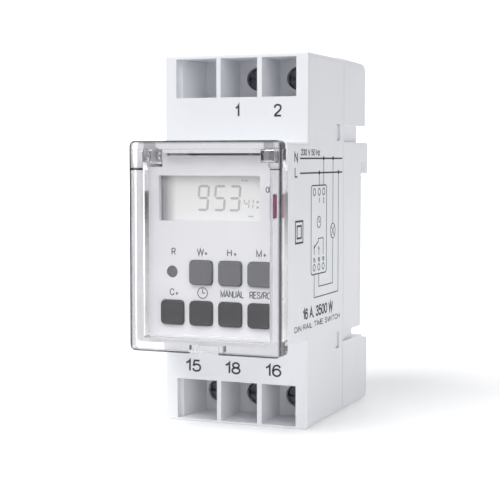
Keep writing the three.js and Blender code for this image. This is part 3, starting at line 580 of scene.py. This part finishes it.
# Strokes of a plain sans-serif alphabet on a cap height of 1: straight, curved or ring-shaped.
GLYPHS = {
    "0": (0.56, [oval(0.28, 0.5, 0.28, 0.5)]),
    "1": (0.34, [("line", [(0.02, 0.74), (0.2, 0.85), (0.3, 1), (0.3, 0)])]),
    "2": (0.56, [("curve", [(0.03, 0.71), (0.1, 0.92), (0.29, 1), (0.49, 0.92), (0.55, 0.72), (0.46, 0.5),
                            (0.2, 0.23), (0.02, 0)]), ("line", [(0, 0), (0.57, 0)])]),
    "3": (0.56, [("curve", [(0.03, 0.78), (0.12, 0.95), (0.28, 1), (0.47, 0.93), (0.52, 0.76), (0.42, 0.58),
                            (0.22, 0.53)]),
                 ("curve", [(0.22, 0.53), (0.46, 0.47), (0.56, 0.28), (0.48, 0.07), (0.28, 0), (0.09, 0.06),
                            (0.01, 0.25)])]),
    "5": (0.56, [("line", [(0.51, 1), (0.13, 1), (0.05, 0.47)]),
                 ("curve", [(0.05, 0.47), (0.15, 0.6), (0.3, 0.64), (0.49, 0.56), (0.56, 0.33), (0.48, 0.09),
                            (0.28, 0), (0.09, 0.06), (0.01, 0.24)])]),
    "6": (0.56, [("curve", [(0.53, 0.78), (0.45, 0.95), (0.3, 1), (0.1, 0.88), (0.01, 0.5), (0.02, 0.33)]),
                 oval(0.29, 0.32, 0.27, 0.32)]),
    "8": (0.56, [oval(0.28, 0.765, 0.23, 0.235), oval(0.28, 0.27, 0.28, 0.27)]),
    "A": (0.68, [("line", [(0, 0), (0.34, 1), (0.68, 0)]), ("line", [(0.11, 0.33), (0.57, 0.33)])]),
    "C": (0.66, [("curve", [(0.65, 0.7), (0.55, 0.93), (0.35, 1), (0.1, 0.87), (0, 0.5), (0.1, 0.13),
                            (0.35, 0), (0.56, 0.08), (0.66, 0.34)])]),
    "D": (0.62, [("line", [(0, 0), (0, 1)]),
                 ("curve", [(0, 1), (0.3, 1), (0.53, 0.88), (0.62, 0.5), (0.53, 0.12), (0.3, 0), (0, 0)])]),
    "E": (0.56, [("line", [(0.56, 1), (0, 1), (0, 0), (0.56, 0)]), ("line", [(0, 0.53), (0.5, 0.53)])]),
    "H": (0.58, [("line", [(0, 0), (0, 1)]), ("line", [(0.58, 0), (0.58, 1)]),
                 ("line", [(0, 0.53), (0.58, 0.53)])]),
    "I": (0.1, [("line", [(0.05, 0), (0.05, 1)])]),
    "L": (0.5, [("line", [(0, 1), (0, 0), (0.5, 0)])]),
    "M": (0.7, [("line", [(0, 0), (0, 1), (0.35, 0.05), (0.7, 1), (0.7, 0)])]),
    "N": (0.58, [("line", [(0, 0), (0, 1), (0.58, 0), (0.58, 1)])]),
    "O": (0.7, [oval(0.35, 0.5, 0.35, 0.5)]),
    "R": (0.6, [("line", [(0, 0), (0, 1)]), ("line", [(0.32, 0.48), (0.6, 0)]),
                ("curve", [(0, 1), (0.36, 1), (0.53, 0.93), (0.58, 0.75), (0.53, 0.56), (0.36, 0.48),
                           (0, 0.48)])]),
    "S": (0.6, [("curve", [(0.56, 0.76), (0.49, 0.94), (0.3, 1), (0.1, 0.93), (0.04, 0.75), (0.13, 0.58),
                           (0.32, 0.51), (0.53, 0.42), (0.59, 0.25), (0.5, 0.06), (0.3, 0), (0.08, 0.07),
                           (0, 0.27)])]),
    "T": (0.6, [("line", [(0, 1), (0.6, 1)]), ("line", [(0.3, 1), (0.3, 0)])]),
    "U": (0.6, [("curve", [(0, 1), (0, 0.65), (0, 0.32), (0.08, 0.08), (0.3, 0), (0.52, 0.08), (0.6, 0.32),
                           (0.6, 0.65), (0.6, 1)])]),
    "V": (0.64, [("line", [(0, 1), (0.32, 0), (0.64, 1)])]),
    "W": (0.94, [("line", [(0, 1), (0.23, 0), (0.47, 1), (0.71, 0), (0.94, 1)])]),
    "z": (0.44, [("line", [(0.02, 0.7), (0.42, 0.7), (0.02, 0), (0.45, 0)])]),
    "/": (0.3, [("line", [(0, -0.02), (0.3, 1.02)])]),
    "+": (0.5, [("line", [(0, 0.36), (0.5, 0.36)]), ("line", [(0.25, 0.11), (0.25, 0.61)])]),
    ",": (0.12, [("line", [(0.08, 0.1), (0.03, -0.15)])]),
    " ": (0.22, []),
}
LETTER_GAP = 0.17


def add_word(ink, text, low, high, weight=0.15):
    """Lettering that fills the box from low to high; weight is the stroke over the cap height."""
    wide = sum(GLYPHS[letter][0] + LETTER_GAP for letter in text) - LETTER_GAP
    line = weight * (high[1] - low[1])
    tall = high[1] - low[1] - line
    stretch = (high[0] - low[0] - line) / wide
    cursor = 0
    for letter in text:
        advance, strokes = GLYPHS[letter]
        for kind, points in strokes:
            placed = [(low[0] + line / 2 + (cursor + x) * stretch, low[1] + line / 2 + y * tall)
                      for x, y in points]
            if kind != "line":
                placed = smooth_path(placed, closed=kind == "ring")
            add_line(ink, placed, line, closed=kind == "ring")
        cursor += advance + LETTER_GAP


def order_by_place(elements, place):
    """Extruding and merging leave the order to chance; sorted by place, the mesh is the same in each run."""
    for rank, element in enumerate(sorted(elements, key=lambda element: tuple(place(element)))):
        element.index = rank
    elements.sort()


def print_piece(name, ink, plane, material, body="housing"):
    bmesh.ops.remove_doubles(ink, verts=ink.verts, dist=1e-5)
    bmesh.ops.recalc_face_normals(ink, faces=ink.faces)
    order_by_place(ink.verts, lambda corner: corner.co)
    order_by_place(ink.faces, lambda face: face.calc_center_median())
    ink.transform(plane @ Matrix.Translation((0, 0, INK_LIFT)))
    mesh = bpy.data.meshes.new(name)
    ink.to_mesh(mesh)
    ink.free()
    piece = bpy.data.objects.new(name, mesh)
    bpy.context.scene.collection.objects.link(piece)
    mesh.materials.append(material)
    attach(piece, body)


def centred(u, v, width, height):
    return (u - width / 2, v - height / 2), (u + width / 2, v + height / 2)


def print_panel():
    """Key labels, the clock sign over the time key, and the mark beside the indicator."""
    ink = bmesh.new()
    columns = [(low.x + high.x) / 2 / MM + LABEL_SHIFT for low, high in map(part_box, LOWER_KEYS)]
    label_height = 1.6
    letter_left, plus_width, plus_drop = 0.6, 0.8, 0.1
    add_word(ink, "R", *centred(RESET_X + LABEL_SHIFT, UPPER_LABEL_Z, 1.05, label_height))
    for letter, column, width in zip("WHM", columns[1:], (1.75, 1.15, 1.35)):
        add_word(ink, letter, *centred(column - letter_left, UPPER_LABEL_Z, width, label_height))
        add_word(ink, "+", *centred(column + 0.75, UPPER_LABEL_Z - plus_drop, plus_width, label_height))
    add_word(ink, "C", *centred(columns[0] - letter_left, LOWER_LABEL_Z, 1.2, label_height))
    add_word(ink, "+", *centred(columns[0] + 0.6, LOWER_LABEL_Z - plus_drop, plus_width, label_height))
    clock = (columns[1] - 0.1, LOWER_LABEL_Z + 0.02)
    clock_radius, clock_line, long_hand, short_hand = 1.2, 0.22, 0.95, 0.62
    add_ring(ink, clock, clock_radius, clock_line)
    add_line(ink, [(clock[0], clock[1] + long_hand), clock, (clock[0] + short_hand, clock[1])], clock_line)
    add_word(ink, "MANUAL", *centred(columns[2] + 0.05, LOWER_LABEL_Z, 5.7, label_height))
    add_word(ink, "RES/RCL", *centred(columns[3] + 0.05, LOWER_LABEL_Z, 5.9, label_height))
    indicator_mark = (13.1, 12.0)
    add_word(ink, "ON", *centred(*indicator_mark, 1.6, 1.4))
    print_piece("panel_print", ink, front_plane(PANEL_Y), grey_ink)


def print_terminal_numbers():
    ink = bmesh.new()
    for text, left, right, foot in (("1", -0.1, 1.15, 28.3), ("2", 9.4, 11.45, 28.3),
                                    ("15", -12.9, -8.75, -31.35), ("18", -2.75, 1.3, -31.35),
                                    ("16", 7.35, 11.45, -31.35)):
        add_word(ink, text, (left, foot), (right, foot + 2.9))
    print_piece("terminal_numbers", ink, front_plane(SHOULDER_Y), slate_ink)


LINE = 0.27
THIN_LINE = 0.22


def print_side():
    """Wiring diagram: two supply lines, the module with its terminals, the switched lamp."""
    ink = bmesh.new()
    neutral_z, live_z = 18.85, 15.55
    start, end = -45.15, -15.5
    module = (-37.7, -27.0, -7.75, 12.65)
    upper_terminals = (-35.55, -32.25, -29.15)
    lower_terminals = (-35.55, -32.35, -29.3)
    add_word(ink, "N", (-48.7, 17.95), (-46.6, 20.2))
    add_word(ink, "L", (-48.5, 14.6), (-46.75, 16.95))
    add_word(ink, "230 V 50 Hz", (-44.6, 19.5), (-31.9, 20.95))
    for z in (neutral_z, live_z):
        add_line(ink, [(start, z), (end, z)], 0.34)
    lamp = (-22.4, 1.7)
    lamp_radius = 1.75
    outer_x, inner_z, outer_z = -18.35, -10.75, -13.1
    taps = [(upper_terminals[1], live_z), (upper_terminals[2], neutral_z), (lamp[0], neutral_z),
            (outer_x, live_z)]
    for tap in taps:
        add_patch(ink, circle_points(tap, 0.5, 16))
    add_line(ink, [taps[0], (taps[0][0], module[3])], THIN_LINE)
    add_line(ink, [taps[1], (taps[1][0], module[3])], THIN_LINE)
    add_line(ink, [taps[2], (lamp[0], lamp[1] + lamp_radius)], THIN_LINE)
    add_line(ink, [(lamp[0], lamp[1] - lamp_radius), (lamp[0], inner_z), (lower_terminals[1], inner_z),
                   (lower_terminals[1], module[2])], THIN_LINE)
    add_line(ink, [taps[3], (outer_x, outer_z), (lower_terminals[0], outer_z),
                   (lower_terminals[0], module[2])], THIN_LINE)
    add_ring(ink, lamp, lamp_radius, THIN_LINE)
    arm = lamp_radius * math.sqrt(0.5)
    for hand in (1, -1):
        add_line(ink, [(lamp[0] - arm, lamp[1] - arm * hand), (lamp[0] + arm, lamp[1] + arm * hand)],
                 THIN_LINE)
    print_module(ink, module, upper_terminals, lower_terminals)
    add_word(ink, "16 A, 3500 W", (-43.1, -17.55), (-22.2, -15.0), weight=0.17)
    add_word(ink, "DIN RAIL TIME SWITCH", (-48.4, -19.8), (-17.0, -18.5), weight=0.14)
    print_insulation_sign(ink)
    print_piece("side_print", ink, side_plane(SIDE_X), black_ink)


def print_module(ink, module, upper_terminals, lower_terminals):
    """The device's own outline with its terminals and the change-over contact."""
    left, right, foot, top = module
    corner = 0.6
    add_line(ink, [(left + corner, foot), (right - corner, foot), (right, foot + corner),
                   (right, top - corner), (right - corner, top), (left + corner, top), (left, top - corner),
                   (left, foot + corner)], LINE, closed=True)
    for x in upper_terminals:
        add_ring(ink, (x, 11.15), 0.8, THIN_LINE)
    for x in lower_terminals:
        add_ring(ink, (x, -6.2), 0.75, THIN_LINE)
    for text, x in zip(("1", "2"), upper_terminals[1:]):
        add_word(ink, text, *centred(x, 9.15, 0.5 if text == "1" else 0.8, 1.2))
    for text, x in zip(("15", "18", "16"), lower_terminals):
        add_word(ink, text, *centred(x, -4.5, 1.5, 1.05))
    fixed_x, free_x, common_x = lower_terminals[0], lower_terminals[1], lower_terminals[2]
    add_line(ink, [(free_x - 0.4, -0.3), (free_x - 0.4, 0.4), (common_x, 0.4), (common_x, -3.4)], THIN_LINE)
    add_line(ink, [(free_x - 0.4, -0.25), (fixed_x, -1.5)], LINE)
    add_patch(ink, [(fixed_x - 0.45, -1.9), (fixed_x + 0.75, -1.45), (fixed_x + 0.1, -0.95)])
    add_line(ink, [(fixed_x, -1.6), (fixed_x, -3.2)], THIN_LINE)
    add_patch(ink, [(free_x - 0.45, -2.1), (free_x + 0.45, -2.1), (free_x, -1.3)])
    add_line(ink, [(free_x, -2.0), (free_x, -3.4)], THIN_LINE)
    clock = ((left + right) / 2, 4.2)
    add_ring(ink, clock, 1.3, THIN_LINE)
    add_line(ink, [(clock[0], 5.1), clock, (clock[0] + 0.75, clock[1])], THIN_LINE)


def print_insulation_sign(ink):
    """Two nested squares, the sign for double insulation."""
    centre = (-45.6, 2.5)
    for half in (2.4, 1.35):
        (a, b), (c, d) = centred(*centre, 2 * half, 2 * half)
        add_line(ink, [(a, b), (c, b), (c, d), (a, d)], 0.42, closed=True)


# ---- Display ----

SEGMENTS = {"9": "abcdfg", "5": "acdfg", "3": "abcdg", "4": "bcfg", "1": "bc"}


def add_digit(ink, text, left, foot, width, height, line):
    """A seven-segment digit with pointed bars and a slight slant."""
    slant = 0.08
    middle = foot + height / 2
    top = foot + height
    gap = line * 0.12
    level = {"a": top - line / 2, "g": middle, "d": foot + line / 2}
    upright = {"f": (left + line / 2, middle, top), "b": (left + width - line / 2, middle, top),
               "e": (left + line / 2, foot, middle), "c": (left + width - line / 2, foot, middle)}
    for bar in SEGMENTS[text]:
        half = line / 2
        if bar in level:
            z, a, b = level[bar], left + line / 2 + gap, left + width - line / 2 - gap
            points = [(a, z), (a + half, z - half), (b - half, z - half), (b, z), (b - half, z + half),
                      (a + half, z + half)]
        else:
            x, low, high = upright[bar]
            low, high = low + gap + half / 2, high - gap - half / 2
            points = [(x, low), (x + half, low + half), (x + half, high - half), (x, high),
                      (x - half, high - half), (x - half, low + half)]
        add_patch(ink, [(u + (v - foot) * slant, v) for u, v in points])


def show_time():
    """Hours and minutes in large digits, seconds in small ones, and small marks round them."""
    ink = bmesh.new()
    large = {"foot": 7.05, "width": 2.85, "height": 5.85, "line": 0.52}
    small = {"foot": 7.75, "width": 1.35, "height": 2.1, "line": 0.24}
    for text, left in (("9", -5.1), ("5", -1.05), ("3", 2.55)):
        add_digit(ink, text, left, **large)
    for text, left in (("4", 6.3), ("1", 7.3)):
        add_digit(ink, text, left, **small)
    for z in (8.0, 9.2):
        add_patch(ink, circle_points((9.7, z), 0.3, 12))
    for left in (5.9, 6.7):
        add_line(ink, [(left, 13.95), (left + 0.55, 13.95)], 0.3)
    add_line(ink, [(7.5, 6.0), (8.7, 6.0)], 0.3)
    print_piece("display_segments", ink, front_plane(LCD_Y), segment_film)


# ---- Build ----

# Each soft box: name, place and side length in metres, power in watts.
LAMPS = [
    ("key_softbox", (-0.25, -0.62, 0.85), 0.6, 7.9),
    ("fill_softbox", (0.55, -0.7, 0.4), 0.6, 1.9),
    ("top_softbox", (0.0, 0.1, 0.9), 0.7, 1.3),
]
DEVICE_CENTRE = (0, -0.025, 0)
ROOM_LIGHT = 0.27
ROOM_SEEN = 0.85


def build():
    bpy.context.scene.view_settings.view_transform = "Standard"
    place_camera()
    lay_floor(seamless_paper())
    light_room(ROOM_LIGHT, ROOM_SEEN)
    for name, place, size, power in LAMPS:
        soft_light(name, place, DEVICE_CENTRE, size, power)
    dress_cad_nodes()
    print_panel()
    print_terminal_numbers()
    print_side()
    show_time()


build()
